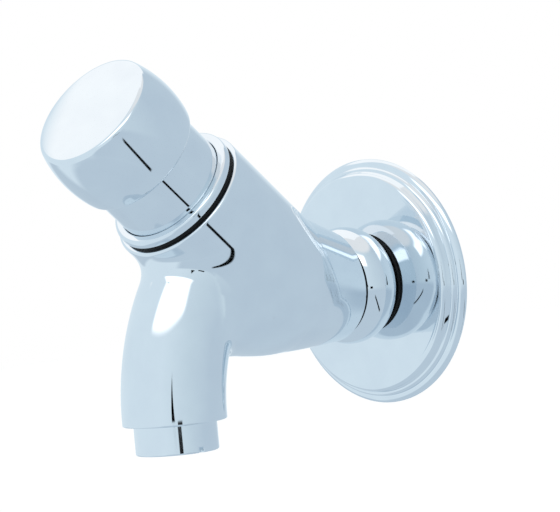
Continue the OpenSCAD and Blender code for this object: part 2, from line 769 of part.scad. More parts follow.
module push_button() {
    edge_h = button_h - button_dome_h;
    low_r = button_side(0) - button_low_round;
    top_r = button_side(edge_h) - button_top_round;
    side_steps = 10;
    side_low = button_low_round;
    side_high = edge_h - button_top_round;
    dome_r = (top_r * top_r + button_dome_h * button_dome_h) / (2 * button_dome_h);
    dome_angle = asin(top_r / dome_r);
    color(chrome) on_barrel() translate([0, 0, button_low_u]) difference() {
        rotate_extrude() polygon(concat(
            [[0, 0]],
            [for (i = [0:arc_steps]) let (a = 90 * i / arc_steps)
                [low_r + (button_side(side_low) - low_r) * sin(a), side_low * (1 - cos(a))]],
            [for (i = [1:side_steps - 1]) let (level = side_low + (side_high - side_low) * i / side_steps)
                [button_side(level), level]],
            [for (i = [0:arc_steps]) let (a = 90 * i / arc_steps)
                [top_r + (button_side(side_high) - top_r) * cos(a), side_high + button_top_round * sin(a)]],
            [for (i = [1:arc_steps]) let (a = dome_angle * (1 - i / arc_steps))
                [dome_r * sin(a), button_h - dome_r + dome_r * cos(a)]]
        ));
        button_room();
    }
}

module button_sleeve() {
    color(chrome) on_barrel() ring(neck_bore_r, neck_r, sleeve_low_u, sleeve_top_u);
}

module stem() {
    color(spring_steel) on_barrel() rotate_extrude() polygon([
        [0, valve_nut_low_u], [stem_foot_d / 2, valve_nut_low_u], [stem_foot_d / 2, valve_disc_top_u],
        [stem_r, valve_disc_top_u], [stem_r, piston_top_u], [clip_d / 2, piston_top_u],
        [clip_d / 2, stem_collar_top_u], [stem_r, stem_collar_top_u], [stem_r, ceiling_u], [0, ceiling_u]
    ]);
}

module stem_locknut() {
    color(bright_brass) on_barrel() hex_nut(locknut_af, stem_r + fit_gap, locknut_low_u, boss_low_u);
}

module spring_cup() {
    rim_h = 2;
    rim_t = 1;
    color(spring_steel) on_barrel() {
        ring(stem_r + fit_gap, spring_cup_d / 2, spring_cup_low_u, locknut_low_u);
        ring(spring_cup_d / 2 - rim_t, spring_cup_d / 2, spring_cup_low_u - rim_h, spring_cup_low_u);
    }
}

module piston() {
    lip_low_u = piston_low_u + (piston_h - lip_h) / 2;
    color(white_acetal) on_barrel() difference() {
        ring(stem_r + fit_gap, piston_r, piston_low_u, piston_top_u);
        ring(lip_r - lip_depth, lip_r + cut, lip_low_u, lip_low_u + lip_h);
        translate([timing_screw_r, 0, piston_low_u - cut]) {
            cylinder(d = timing_screw_d + 2 * fit_gap, h = piston_h + 2 * cut);
        }
    }
}

module lip_seal() {
    lip_low_u = piston_low_u + (piston_h - lip_h) / 2;
    color(black_rubber) on_barrel() ring(lip_r - lip_depth + fit_gap, lip_r, lip_low_u, lip_low_u + lip_h);
}

module piston_clip() {
    catch = 0.6;
    mouth_w = stem_d - 2 * catch;
    color(spring_steel) on_barrel() difference() {
        ring(stem_r + fit_gap, clip_d / 2, clip_low_u, piston_low_u);
        translate([-mouth_w / 2, 0, clip_low_u - cut]) cube([mouth_w, clip_d, clip_t + 2 * cut]);
    }
}

module timing_screw() {
    color(bright_brass) on_barrel() translate([timing_screw_r, 0, piston_low_u]) {
        cylinder(d = timing_screw_d, h = piston_h);
    }
}

module valve_disc() {
    color(bright_brass) on_barrel() {
        ring(stem_foot_d / 2 + fit_gap, valve_d / 2, valve_disc_low_u, valve_disc_top_u);
    }
}

module valve_washer() {
    color(black_rubber) on_barrel() {
        ring(stem_r + fit_gap, valve_d / 2 - fit_gap, valve_disc_top_u, valve_washer_top_u);
    }
}

module valve_nut() {
    color(bright_brass) on_barrel() {
        hex_nut(valve_nut_af, stem_foot_d / 2 + fit_gap, valve_nut_low_u, valve_disc_low_u);
    }
}

tap_body();
wall_flange();
flange_gasket();
inlet_tailpiece();
inlet_seal();
tailpiece_o_ring();
inlet_strainer();
aerator_housing();
aerator_insert();
aerator_screen();
aerator_washer();
bonnet_ring();
bonnet_seal();
neck_wiper();
cartridge_body();
cartridge_cap();
seat_o_ring();
land_o_ring();
guide_bush();
stem_seal();
return_spring();
push_button();
button_sleeve();
stem();
stem_locknut();
spring_cup();
piston();
lip_seal();
piston_clip();
timing_screw();
valve_disc();
valve_washer();
valve_nut();
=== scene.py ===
# %% [markdown]
# # A push timed tap, from its CAD frame to a chrome render
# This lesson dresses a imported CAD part. The tap is a chromed brass casting with a button on a slanted
# barrel: pressing the button opens a valve, and a water brake lets the button come back slowly.
# The CAD solids fix every size and every joint, so nothing here moves them. New meshes stand for the
# pieces that show, because a mirror finish needs smoother curves than a CAD mesh has.

import json
import math

import bmesh
import bpy
import numpy as np
from mathutils import Matrix, Quaternion, Vector


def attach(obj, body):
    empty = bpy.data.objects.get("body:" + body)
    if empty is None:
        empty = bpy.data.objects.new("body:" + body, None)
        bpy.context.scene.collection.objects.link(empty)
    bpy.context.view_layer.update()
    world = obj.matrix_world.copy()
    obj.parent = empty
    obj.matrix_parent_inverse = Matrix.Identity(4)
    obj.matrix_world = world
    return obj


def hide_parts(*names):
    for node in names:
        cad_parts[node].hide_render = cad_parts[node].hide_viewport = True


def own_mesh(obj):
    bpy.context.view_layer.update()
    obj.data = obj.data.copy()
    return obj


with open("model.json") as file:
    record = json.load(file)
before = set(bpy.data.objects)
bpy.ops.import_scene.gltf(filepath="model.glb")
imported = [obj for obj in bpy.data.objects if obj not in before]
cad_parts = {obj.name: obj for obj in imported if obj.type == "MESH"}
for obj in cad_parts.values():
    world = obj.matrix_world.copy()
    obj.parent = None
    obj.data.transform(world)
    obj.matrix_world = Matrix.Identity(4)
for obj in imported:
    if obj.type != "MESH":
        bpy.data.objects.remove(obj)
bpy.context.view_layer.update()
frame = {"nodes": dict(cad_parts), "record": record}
scene = bpy.context.scene
MM = 0.001

# %% [markdown]
# ## Three axes
# Nearly every piece of a tap is turned on a lathe, so it belongs to one of three straight axes: the
# inlet, which leaves the wall, the slanted barrel with the button, and the outlet, which points down.
# Each axis is a matrix that carries a local z along that axis. A piece can then be drawn upright in
# plain millimetres and set in place at the end, in its mesh, while its object stays at the origin.

# %% Place the axes
BARREL_TILT = math.radians(41.5)
BARREL_CROSS = 41.6
SPOUT_REACH = 87.8
SPOUT_DROP = 32

inlet_axis = Matrix.Rotation(math.radians(90), 4, "X")
barrel_turn = Matrix.Rotation(math.radians(90) - BARREL_TILT, 4, "X")
barrel_axis = Matrix.Translation((0, -BARREL_CROSS * MM, 0)) @ barrel_turn
outlet_axis = Matrix.Translation((0, -SPOUT_REACH * MM, -SPOUT_DROP * MM))

# %% [markdown]
# ## Materials
# A material begins with what the real one is and how its surface was made. Colours are written as
# sRGB hex values, which Blender needs in linear light, so one function changes them. One more function
# adds a node with its settings and links. Patterns read Object coordinates, in metres, and their scale
# comes from a real size: a texture with features of s millimetres has a scale of 1000 / s.

# %% Helpers for materials
NOISE_SPAN = (0.3, 0.7)


def linear(code):
    """An sRGB hex colour as linear red, green, blue and alpha."""
    parts = [int(code[i:i + 2], 16) / 255 for i in (1, 3, 5)]
    return [p / 12.92 if p <= 0.04045 else ((p + 0.055) / 1.055) ** 2.4 for p in parts] + [1]


def add_node(tree, kind, settings=None, inputs=None, links=None):
    """A new node: its own settings, the values of its sockets, and what is linked to them."""
    made = tree.nodes.new(kind)
    for name, value in (settings or {}).items():
        setattr(made, name, value)
    for name, value in (inputs or {}).items():
        made.inputs[name].default_value = value
    for name, socket in (links or {}).items():
        tree.links.new(socket, made.inputs[name])
    return made


def new_material(name):
    """An empty material with its Principled shader and its Object coordinates."""
    material = bpy.data.materials.new(name)
    material.use_nodes = True
    tree = material.node_tree
    tree.nodes.clear()
    shader = add_node(tree, "ShaderNodeBsdfPrincipled")
    add_node(tree, "ShaderNodeOutputMaterial", links={"Surface": shader.outputs["BSDF"]})
    place = add_node(tree, "ShaderNodeTexCoord").outputs["Object"]
    return material, tree, shader, place


def tint(tree, shader, value, tones):
    """The base colour lies between two close hex tones, by a value that mostly runs through NOISE_SPAN."""
    ramp = add_node(tree, "ShaderNodeValToRGB", links={"Fac": value})
    for stop, position, code in zip(ramp.color_ramp.elements, NOISE_SPAN, tones):
        stop.position = position
        stop.color = linear(code)
    tree.links.new(ramp.outputs["Color"], shader.inputs["Base Color"])


def make_finish(name, tones, tone, gloss, relief=None, metallic=0):
    """A material with two tones, uneven roughness and a fine relief, each from soft noise.

    tone holds the size of the noise in millimetres and its detail. gloss holds these two and the lowest
    and highest roughness, and relief these two and the relief's depth in millimetres and its strength."""
    material, tree, shader, place = new_material(name)
    shader.inputs["Metallic"].default_value = metallic
    fields = []
    for size, detail, *_ in filter(None, (tone, gloss, relief)):
        inputs = {"Scale": 1 / (size * MM), "Detail": detail}
        field = add_node(tree, "ShaderNodeTexNoise", inputs=inputs, links={"Vector": place})
        fields.append(field.outputs["Fac"])
    tint(tree, shader, fields[0], tones)
    inputs = {"From Min": NOISE_SPAN[0], "From Max": NOISE_SPAN[1], "To Min": gloss[2], "To Max": gloss[3]}
    haze = add_node(tree, "ShaderNodeMapRange", inputs=inputs, links={"Value": fields[1]})
    tree.links.new(haze.outputs["Result"], shader.inputs["Roughness"])
    if relief:
        inputs = {"Distance": relief[2] * MM, "Strength": relief[3]}
        bump = add_node(tree, "ShaderNodeBump", inputs=inputs, links={"Height": fields[2]})
        tree.links.new(bump.outputs["Normal"], shader.inputs["Normal"])
    print("made", name)
    return material, shader


# %% Polished chrome plate
# Bright chromium over polished brass is a mirror with a cool tint and a trace of buffing.
chrome, _ = make_finish("chromium_plate_polished", ("#E2E9EF", "#E6EDF2"), tone=(9, 2),
                        gloss=(4, 4, 0.035, 0.06), relief=(14, 0, 0.004, 1), metallic=1)

# %% Rubber, silicone and foam
# Moulded rubber is near black and matt, with the fine grain of the mould.
rubber, shader = make_finish("epdm_rubber_moulded", ("#0C0D0E", "#121315"), tone=(3, 2),
                             gloss=(0.25, 3, 0.5, 0.68), relief=(0.25, 3, 0.02, 0.5))
shader.inputs["Specular IOR Level"].default_value = 0.2

# The wiper is blue grey and matt, with a faint bloom. The blue grey is painted shade: it stands in for the
# shadow band between the neck and the ring nut.
wiper_shade_grey, _ = make_finish("wiper_painted_shade", ("#8FA3B3", "#9AAEBD"), tone=(2, 2),
                          gloss=(2, 2, 0.45, 0.6))

# Die-cut closed-cell foam is grey and dull, with small round cells.
FOAM_CELL = 0.6
FOAM_RELIEF = 0.12

foam, tree, shader, place = new_material("polyethylene_foam_die_cut")
cells = add_node(tree, "ShaderNodeTexVoronoi", inputs={"Scale": 1 / (FOAM_CELL * MM)},
                 links={"Vector": place})
tint(tree, shader, cells.outputs["Distance"], ("#5E6165", "#7A7D81"))
shader.inputs["Roughness"].default_value = 0.85
pores = add_node(tree, "ShaderNodeBump", inputs={"Distance": FOAM_RELIEF * MM, "Strength": 0.6},
                 links={"Height": cells.outputs["Distance"]})
tree.links.new(pores.outputs["Normal"], shader.inputs["Normal"])
print("made", foam.name)

# %% Brass, steel and acetal
# Turned brass is a warm yellow, with the fine satin grain that a lathe tool leaves.
brass, _ = make_finish("brass_turned", ("#C9A45C", "#D8B56C"), tone=(5, 2),
                       gloss=(0.3, 1, 0.22, 0.36), relief=(0.3, 1, 0.01, 0.4), metallic=1)

# Bright stainless steel, drawn or ground, is a neutral grey with a soft satin.
steel, _ = make_finish("stainless_steel_ground", ("#AEB2B5", "#BEC2C4"), tone=(4, 2),
                       gloss=(0.2, 3, 0.24, 0.36), relief=(0.2, 3, 0.008, 0.3), metallic=1)

# Moulded acetal is milky white and slightly waxy, so light goes a little way into it.
acetal, shader = make_finish("acetal_moulded", ("#E4E3DE", "#ECEBE7"), tone=(6, 2),
                             gloss=(0.8, 2, 0.34, 0.46), relief=(0.8, 2, 0.01, 0.3))
shader.inputs["IOR"].default_value = 1.48
shader.inputs["Subsurface Weight"].default_value = 0.15
shader.inputs["Subsurface Radius"].default_value = (0.0012, 0.0011, 0.001)
shader.inputs["Subsurface Scale"].default_value = 1

# %% [markdown]
# ## Turning a piece
# A lathe makes a round piece from an outline, and Spin does the same with a bmesh: a few vertices
# joined by edges go once round the axis. The corners of a real turned piece are broken, so each corner
# of an outline has its own small rounding, drawn as an arc. Without it, polished metal has no bright
# edge line and looks like a drawing. A Weighted Normal modifier keeps wide faces flat beside the arcs.

# %% Outlines with rounded corners
ARC_STEPS = 8
TURN_STEPS = 160
SHARP_ANGLE = math.radians(38)
WELD = 0.001
FINE_WELD = 0.0001


def rounded(corners):
    """Points of an outline from corners of (radius, level, rounding) in millimetres."""
    points = []
    for i, (radius, level, rounding) in enumerate(corners):
        here = Vector((radius, level))
        if not rounding:
            points.append(here)
            continue
        before = (Vector(corners[i - 1][:2]) - here).normalized()
        after = (Vector(corners[(i + 1) % len(corners)][:2]) - here).normalized()
        half = before.angle(after) / 2
        centre = here + (before + after).normalized() * rounding / math.sin(half)
        start = here + before * rounding / math.tan(half) - centre
        end = here + after * rounding / math.tan(half) - centre
        points += [centre + start.slerp(end, k / ARC_STEPS) * rounding for k in range(ARC_STEPS + 1)]
    return points


def arc(centre, radius, start, end, steps=ARC_STEPS):
    """Corners along an arc, its angles in degrees from the radius direction."""
    angles = [math.radians(start + (end - start) * k / steps) for k in range(steps + 1)]
    return [(centre[0] + radius * math.cos(a), centre[1] + radius * math.sin(a), 0) for a in angles]


def turn(outline, closed=True):
    """A bmesh of an outline, spun once about the z axis. An open outline starts and ends on the axis."""
    bm = bmesh.new()
    verts = [bm.verts.new((point[0] * MM, 0, point[1] * MM)) for point in outline]
    ends = verts[1:] + verts[:1] if closed else verts[1:]
    edges = [bm.edges.new(pair) for pair in zip(verts, ends)]
    bmesh.ops.spin(bm, geom=verts + edges, cent=(0, 0, 0), axis=(0, 0, 1), angle=2 * math.pi,
                   steps=TURN_STEPS, use_merge=True)
    bmesh.ops.remove_doubles(bm, verts=bm.verts, dist=FINE_WELD * MM)
    bmesh.ops.recalc_face_normals(bm, faces=bm.faces)
    return bm


print("outlines are drawn in millimetres and turned in", TURN_STEPS, "steps")

# %% From a bmesh to a piece of the tap
def add_object(name, bm):
    """An object at the origin from a bmesh, smooth except at sharp edges."""
    for edge in bm.edges:
        edge.smooth = edge.calc_face_angle(0) < SHARP_ANGLE
    for face in bm.faces:
        face.smooth = True
    mesh = bpy.data.meshes.new(name)
    bm.to_mesh(mesh)
    bm.free()
    obj = bpy.data.objects.new(name, mesh)
    scene.collection.objects.link(obj)
    return obj


def dress(obj, body, node, material):
    """The object stands for a CAD node, moves with its body and gets its finish."""
    obj.data.materials.clear()
    obj.data.materials.append(material)
    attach(obj, body)
    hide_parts(node)
    print(obj.name, "stands for", node, "with", len(obj.data.polygons), "faces")
    return obj


def even_normals(obj):
    """Wide faces decide the normals, so that flats stay flat beside small roundings."""
    weighted = obj.modifiers.new("even normals", "WEIGHTED_NORMAL")
    weighted.keep_sharp = True
    return obj


def turned_piece(name, outline, axis, body, node, material, closed=True):
    """A turned piece in its place."""
    bm = turn(outline, closed)
    bm.transform(axis)
    return even_normals(dress(add_object(name, bm), body, node, material))


def pour(bm, into):
    """The faces of one bmesh go into another one."""
    mesh = bpy.data.meshes.new("poured")
    bm.to_mesh(mesh)
    bm.free()
    into.from_mesh(mesh)
    bpy.data.meshes.remove(mesh)


def baked(obj):
    """The object's modifiers go into its mesh."""
    graph = bpy.context.evaluated_depsgraph_get()
    mesh = bpy.data.meshes.new_from_object(obj.evaluated_get(graph))
    obj.modifiers.clear()
    obj.data = mesh
    return obj


print("edges are sharp from", round(math.degrees(SHARP_ANGLE)), "degrees")

# %% [markdown]
# ## The casting
# The body is one brass casting: an inlet arm, a slanted barrel with a round lower end, a shoulder that
# widens from the arm to the barrel and a bent spout. They melt into each other with soft hollow fillets.
# A boolean union with bevels could join them, but bevels break where three rounds meet. Here four shells
# are spun, a voxel remesh wraps them in one even skin, and each vertex then slides onto a smooth union
# of the four shapes, which is a formula.

# %% Sizes of the casting
ARM_REAR = 20
ARM_REAR_R = 16
ARM_REAR_ROUND = 2
ARM_R = 17.2
ARM_TIP = 77.8
ARM_TIP_R = 14.8
SHOULDER_R = 15.4
BARREL_R = 21.5
BARREL_BALL = 8
BARREL_MOUTH = 49.7
SPOUT_R = 15.2
SPOUT_ROOT = 27.4
SPOUT_STRAIGHT = 1
OVERRUN = 4
BALL_STEPS = 24
SPOUT_SEGMENTS = 96
BEND_STEPS = 60

root_out = SPOUT_REACH - BARREL_CROSS - SPOUT_ROOT * math.cos(BARREL_TILT)
root_rise = SPOUT_ROOT * math.sin(BARREL_TILT) + SPOUT_DROP - SPOUT_STRAIGHT
bend_r = (root_out ** 2 + root_rise ** 2) / (2 * root_out)
bend_turn = math.atan2(root_rise, bend_r - root_out)
bend_centre = np.array([0, bend_r - SPOUT_REACH, SPOUT_STRAIGHT - SPOUT_DROP])
ball = np.array([0, -BARREL_CROSS - BARREL_BALL * math.cos(BARREL_TILT), BARREL_BALL * math.sin(BARREL_TILT)])
shoulder_start = np.array([0, -ARM_REAR, 0])
shoulder_len = np.linalg.norm(ball - shoulder_start)
shoulder_way = (ball - shoulder_start) / shoulder_len
shoulder_flare = math.asin((BARREL_R - SHOULDER_R) / shoulder_len)
print("spout bends with radius", round(bend_r, 2), "through", round(math.degrees(bend_turn), 1), "degrees")

# %% Four shells
def arm_outline():
    side = [(ARM_REAR_R, ARM_REAR - OVERRUN, 0), (ARM_R, BARREL_CROSS, 0), (ARM_TIP_R, ARM_TIP, 0)]
    return rounded([(0, ARM_REAR - OVERRUN, 0)] + side + [(0, ARM_TIP, 0)])


def shoulder_outline():
    """A cone between two balls, each cut where the cone touches it."""
    side = [(r * math.cos(shoulder_flare), z - r * math.sin(shoulder_flare), 0)
            for r, z in ((SHOULDER_R, 0), (BARREL_R, shoulder_len))]
    return [(0, side[0][1], 0)] + side + [(0, side[1][1], 0)]


def barrel_outline():
    ball = arc((0, BARREL_BALL), BARREL_R, -90, 0, BALL_STEPS)
    return rounded(ball + [(BARREL_R, BARREL_MOUTH + OVERRUN, 0), (0, BARREL_MOUTH + OVERRUN, 0)])


def spout_shell():
    """A disc at the end of the spout, drawn down a little and spun up round the bend."""
    bm = bmesh.new()
    level = (SPOUT_STRAIGHT - SPOUT_DROP) * MM
    place = Matrix.Translation((0, -SPOUT_REACH * MM, level))
    bmesh.ops.create_circle(bm, cap_ends=True, segments=SPOUT_SEGMENTS, radius=SPOUT_R * MM,
                            matrix=place)
    low = bmesh.ops.extrude_face_region(bm, geom=bm.faces[:])["geom"]
    low_verts = [part for part in low if isinstance(part, bmesh.types.BMVert)]
    bmesh.ops.translate(bm, verts=low_verts, vec=(0, 0, -(SPOUT_STRAIGHT + OVERRUN) * MM))
    caps = [face for face in bm.faces if len(face.verts) > 4]
    top = [cap for cap in caps if cap.calc_center_median().z > level - 0.1 * MM]
    bmesh.ops.spin(bm, geom=top, cent=Vector(bend_centre) * MM, axis=(1, 0, 0), angle=-bend_turn,
                   steps=BEND_STEPS)
    bmesh.ops.recalc_face_normals(bm, faces=bm.faces)
    return bm


shells = bmesh.new()
shoulder_turn = Vector(shoulder_way).to_track_quat("Z", "X")
shoulder_axis = Matrix.LocRotScale(Vector(shoulder_start) * MM, shoulder_turn, None)
for outline, axis in ((arm_outline(), inlet_axis), (rounded(shoulder_outline()), shoulder_axis),
                      (barrel_outline(), barrel_axis)):
    shell = turn(outline, closed=False)
    shell.transform(axis)
    pour(shell, shells)
pour(spout_shell(), shells)
casting = add_object("cast_body", shells)
print("four shells with", len(casting.data.polygons), "faces")

# %% One skin over the shells
SKIN_STEP = 0.7

remesh = casting.modifiers.new("skin", "REMESH")
remesh.mode = "VOXEL"
remesh.voxel_size = SKIN_STEP * MM
baked(casting)
print("one skin with", len(casting.data.vertices), "vertices")

# %% [markdown]
# ## The smooth union
# For each shape, a small formula gives the distance of a point from its surface. The smaller of two
# distances is their plain union, with a sharp crease. Where the two are nearly equal, a little is taken
# off, and the crease becomes a fillet: the wider the zone, the larger the fillet. Its gradient is also
# the exact normal, which keeps reflections calm on a skin of small uneven faces.

# %% Distances from the four shapes, in millimetres
ARM_SOFT = 1.2
NECK_FILLET = 5
ELBOW_FILLET = 3
REAR_FILLET = 1.5
REAR_END = 45
FRONT_START = 60


def soft_min(a, b, zone):
    """The smaller of two distances, with a fillet where they differ by less than the zone."""
    near = np.maximum(zone - np.abs(a - b), 0) / zone
    return np.minimum(a, b) - near ** 2 * zone / 4


def arm_distance(p):
    out = -p[:, 1]
    swell = ARM_REAR_R + (ARM_R - ARM_REAR_R) * (out - ARM_REAR) / (BARREL_CROSS - ARM_REAR)
    taper = ARM_R + (ARM_TIP_R - ARM_R) * (out - BARREL_CROSS) / (ARM_TIP - BARREL_CROSS)
    side = np.hypot(p[:, 0], p[:, 2]) - soft_min(swell, taper, ARM_SOFT)
    return np.maximum(side, out - ARM_TIP)


def barrel_distance(p):
    along = -(p[:, 1] + BARREL_CROSS) * math.cos(BARREL_TILT) + p[:, 2] * math.sin(BARREL_TILT)
    across = (p[:, 1] + BARREL_CROSS) * math.sin(BARREL_TILT) + p[:, 2] * math.cos(BARREL_TILT)
    below = np.minimum(along - BARREL_BALL, 0)
    return np.sqrt(p[:, 0] ** 2 + across ** 2 + below ** 2) - BARREL_R


def spout_distance(p):
    q = p - bend_centre
    angle = np.clip(np.arctan2(q[:, 2], -q[:, 1]), 0, bend_turn)
    nearest = np.stack([np.zeros(len(p)), -bend_r * np.cos(angle), bend_r * np.sin(angle)], axis=1)
    nearest[:, 2] = np.where(q[:, 2] < 0, q[:, 2], nearest[:, 2])
    return np.linalg.norm(q - nearest, axis=1) - SPOUT_R


def shoulder_distance(p):
    """A ball that grows as it rolls from the rear of the arm to the round end of the barrel."""
    q = p - shoulder_start
    along = q @ shoulder_way
    across = np.sqrt(np.maximum((q ** 2).sum(axis=1) - along ** 2, 0))
    middle = np.clip(along + across * math.tan(shoulder_flare), 0, shoulder_len)
    return np.hypot(along - middle, across) - SHOULDER_R - middle * math.sin(shoulder_flare)


def cast_distance(p):
    """The union: a wide fillet under the barrel in front and a narrow one at the shoulder."""
    lower = soft_min(arm_distance(p), spout_distance(p), ELBOW_FILLET)
    upper = np.minimum(barrel_distance(p), shoulder_distance(p))
    zone = np.interp(-p[:, 1], (REAR_END, FRONT_START), (REAR_FILLET, NECK_FILLET))
    return soft_min(lower, upper, zone)


def cast_slope(p, step=0.01):
    """The gradient of the distance: it points straight out of the casting."""
    sides = [cast_distance(p + step * way) - cast_distance(p - step * way) for way in np.eye(3)]
    return np.stack(sides, axis=1) / (2 * step)


print("fillet zones from", REAR_FILLET, "to", NECK_FILLET, "mm")

# %% Slide the skin onto the union
SLIDES = 8
LONGEST_SLIDE = 1
LEAST_SLOPE = 0.2
SKIN_SLACK = 0.005


def vertex_places(mesh):
    flat = np.empty(len(mesh.vertices) * 3)
    mesh.vertices.foreach_get("co", flat)
    return flat.reshape(-1, 3)


places = vertex_places(casting.data) / MM
for _ in range(SLIDES):
    slope = cast_slope(places)
    move = cast_distance(places) / np.maximum((slope ** 2).sum(axis=1), LEAST_SLOPE)
    places -= slope * np.clip(move, -LONGEST_SLIDE, LONGEST_SLIDE)[:, None]
casting.data.vertices.foreach_set("co", (places * MM).ravel())
settled = np.abs(cast_distance(places)) < SKIN_SLACK
print("share of the skin that lies on the union:", round(float(settled.mean()), 3))

# %% [markdown]
# ## The machined ends of the casting
# After casting, the three ends are faced and bored. Bisect Plane cuts the skin square to an axis, which
# leaves an open ring. Extruding that ring again and again, each time to another radius and level, draws
# the rounded rim, the flat face and the stepped bore, and a last face closes the bottom of the bore.
# The bores match the CAD ones, so the cartridge and the moving stem have their room.

# %% Cut and bore the ends
MOUTH_EDGE = 0.8
SPOUT_EDGE = 0.4
RIM_STEPS = 6
RING_SLACK = 0.2
# Each bore has its steps, from the open end inwards, as radius and level of the step's floor.
BARREL_BORE = ((19, 33), (16.5, 14), (13.3, 5), (8.6, -7.6), (5, -10))
ARM_BORE = ((12.1, 30.1),)
SPOUT_BORE = ((11.1, 9), (9.5, 18))


def stepped(start, steps):
    """Points of (radius, level) along a stepped bore that starts at a level."""
    points = []
    for radius, floor in steps:
        points += [(radius, start), (radius, floor)]
        start = floor
    return points


def rim(radius, level, edge, way):
    """The rounded edge of an end: it turns from the side into the face, which looks along way."""
    centre = (radius - edge, level - way * edge)
    return [point[:2] for point in arc(centre, edge, 0, way * 90, RIM_STEPS)[1:]]


def draw_ring(bm, ring, targets):
    """Extrudes an open ring to one radius and level after another, and hands back its last edges."""
    for radius, level in targets:
        parts = bmesh.ops.extrude_edge_only(bm, edges=ring)["geom"]
        for vert in (part for part in parts if isinstance(part, bmesh.types.BMVert)):
            across = vert.co.to_2d().normalized() * radius * MM
            vert.co = (across.x, across.y, level * MM)
        ring = [part for part in parts if isinstance(part, bmesh.types.BMEdge)]
    return ring


def bore_end(bm, axis, level, edge, way, radius, bore):
    """Cuts the skin below its edge rounding and draws the rim and the bore from the open ring."""
    bm.transform(axis.inverted())
    cut = Vector((0, 0, (level - way * edge) * MM))
    bmesh.ops.bisect_plane(bm, geom=bm.verts[:] + bm.edges[:] + bm.faces[:], dist=WELD * MM,
                           plane_co=cut, plane_no=(0, 0, way), clear_outer=True)
    ring = [edge for edge in bm.edges if edge.is_boundary]
    bmesh.ops.remove_doubles(bm, verts=list({v for e in ring for v in e.verts}), dist=RING_SLACK * MM)
    ring = [edge for edge in bm.edges if edge.is_boundary]
    targets = rim(radius, level, edge, way) + stepped(level, bore)
    bmesh.ops.contextual_create(bm, geom=draw_ring(bm, ring, targets))
    bm.transform(axis)


skin = bmesh.new()
skin.from_mesh(casting.data)
bore_end(skin, barrel_axis, BARREL_MOUTH, MOUTH_EDGE, 1, BARREL_R, BARREL_BORE)
bore_end(skin, inlet_axis, ARM_REAR, ARM_REAR_ROUND, -1, ARM_REAR_R, ARM_BORE)
bore_end(skin, outlet_axis, 0, SPOUT_EDGE, -1, SPOUT_R, SPOUT_BORE)
bmesh.ops.recalc_face_normals(skin, faces=skin.faces)
bpy.data.objects.remove(casting)
casting = add_object("cast_body", skin)
dress(casting, "tap", "tap_body", chrome)

# %% Exact normals on the cast skin
corner_vertex = np.empty(len(casting.data.loops), dtype=int)
casting.data.loops.foreach_get("vertex_index", corner_vertex)
places = vertex_places(casting.data) / MM
slope = cast_slope(places)
slope /= np.linalg.norm(slope, axis=1)[:, None]
on_skin = np.abs(cast_distance(places)) < SKIN_SLACK
face_on_skin = np.array([on_skin[list(face.vertices)].all() for face in casting.data.polygons])
corner_on_skin = np.repeat(face_on_skin, [face.loop_total for face in casting.data.polygons])
casting.data.normals_split_custom_set(slope[corner_vertex] * corner_on_skin[:, None])
print("exact normals on", int(face_on_skin.sum()), "of", len(face_on_skin), "faces")

# %% [markdown]
# ## The button
# The button is turned from brass: a barrel-shaped head with a wide rounded lower edge, a small top
# rounding and a faint dome. Its side is one wide arc about its widest place, so a formula gives the
# half width at each height. Underneath, it is hollow, with a socket for the neck tube and a boss for
# the stem. The top stays bare and clean.

# %% Push button
BUTTON_LOW = 67.2
BUTTON_R = 20.5
BUTTON_H = 23.6
BUTTON_PEAK = 10.6
BUTTON_SWELL_R = 37.5
BUTTON_DOME = 0.9
BUTTON_CEILING = 19.6
LOW_ROUND = 2.4
TOP_ROUND = 1.6
SIDE_FROM = 3.2
SIDE_SHORT = 2.2
SIDE_POINTS = 24
DOME_STEPS = 16
NECK_R = 17.3
NECK_BORE_R = 15.6
SOCKET_H = 5.3
STEM_R = 3
BOSS_R = 6.5
BOSS_LOW = 13.6


def button_side(level):
    return BUTTON_R - BUTTON_SWELL_R + math.sqrt(BUTTON_SWELL_R ** 2 - (level - BUTTON_PEAK) ** 2)


def button_outline():
    edge = BUTTON_H - BUTTON_DOME
    top_r = button_side(edge)
    dome_r = (top_r ** 2 + BUTTON_DOME ** 2) / (2 * BUTTON_DOME)
    dome_edge = math.degrees(math.asin(top_r / dome_r))
    dome = arc((0, BUTTON_H - dome_r), dome_r, 90 - dome_edge, 90, DOME_STEPS)
    levels = np.linspace(SIDE_FROM, edge - SIDE_SHORT, SIDE_POINTS)
    side = [(button_side(level), level, 0) for level in levels]
    under = [(0, BUTTON_CEILING, 0), (STEM_R, BUTTON_CEILING, 0), (STEM_R, BOSS_LOW, 0),
             (BOSS_R, BOSS_LOW, 0.3), (BOSS_R, BUTTON_CEILING, 0.4), (NECK_BORE_R, BUTTON_CEILING, 0.5),
             (NECK_BORE_R, SOCKET_H, 0), (NECK_R, SOCKET_H, 0), (NECK_R, 0, 0.3)]
    lower, upper = (button_side(0), 0, LOW_ROUND), (top_r, edge, TOP_ROUND)
    return rounded(under + [lower] + side + [upper] + dome[2:])


on_button = barrel_axis @ Matrix.Translation((0, 0, BUTTON_LOW * MM))
turned_piece("button_head", button_outline(), on_button, "button", "push_button", chrome,
             closed=False)

# %% [markdown]
# ## Neck tube, ring nut and their seal
# The button slides with a drawn tube, the neck, through a thin ring nut that closes the barrel. The nut
# has a threaded skirt inside the barrel and a rounded head outside, and under the head lies a rubber
# ring, which shows as a dark line. Each is an outline with its own roundings, spun once.

# %% Neck tube
NECK_LOW = 44.8
NECK_TOP = 72.5

neck = [(NECK_BORE_R, NECK_LOW, 0.3), (NECK_R, NECK_LOW, 0.4), (NECK_R, NECK_TOP, 0.3),
        (NECK_BORE_R, NECK_TOP, 0.3)]
turned_piece("neck_tube", rounded(neck), barrel_axis, "button", "button_sleeve", chrome)

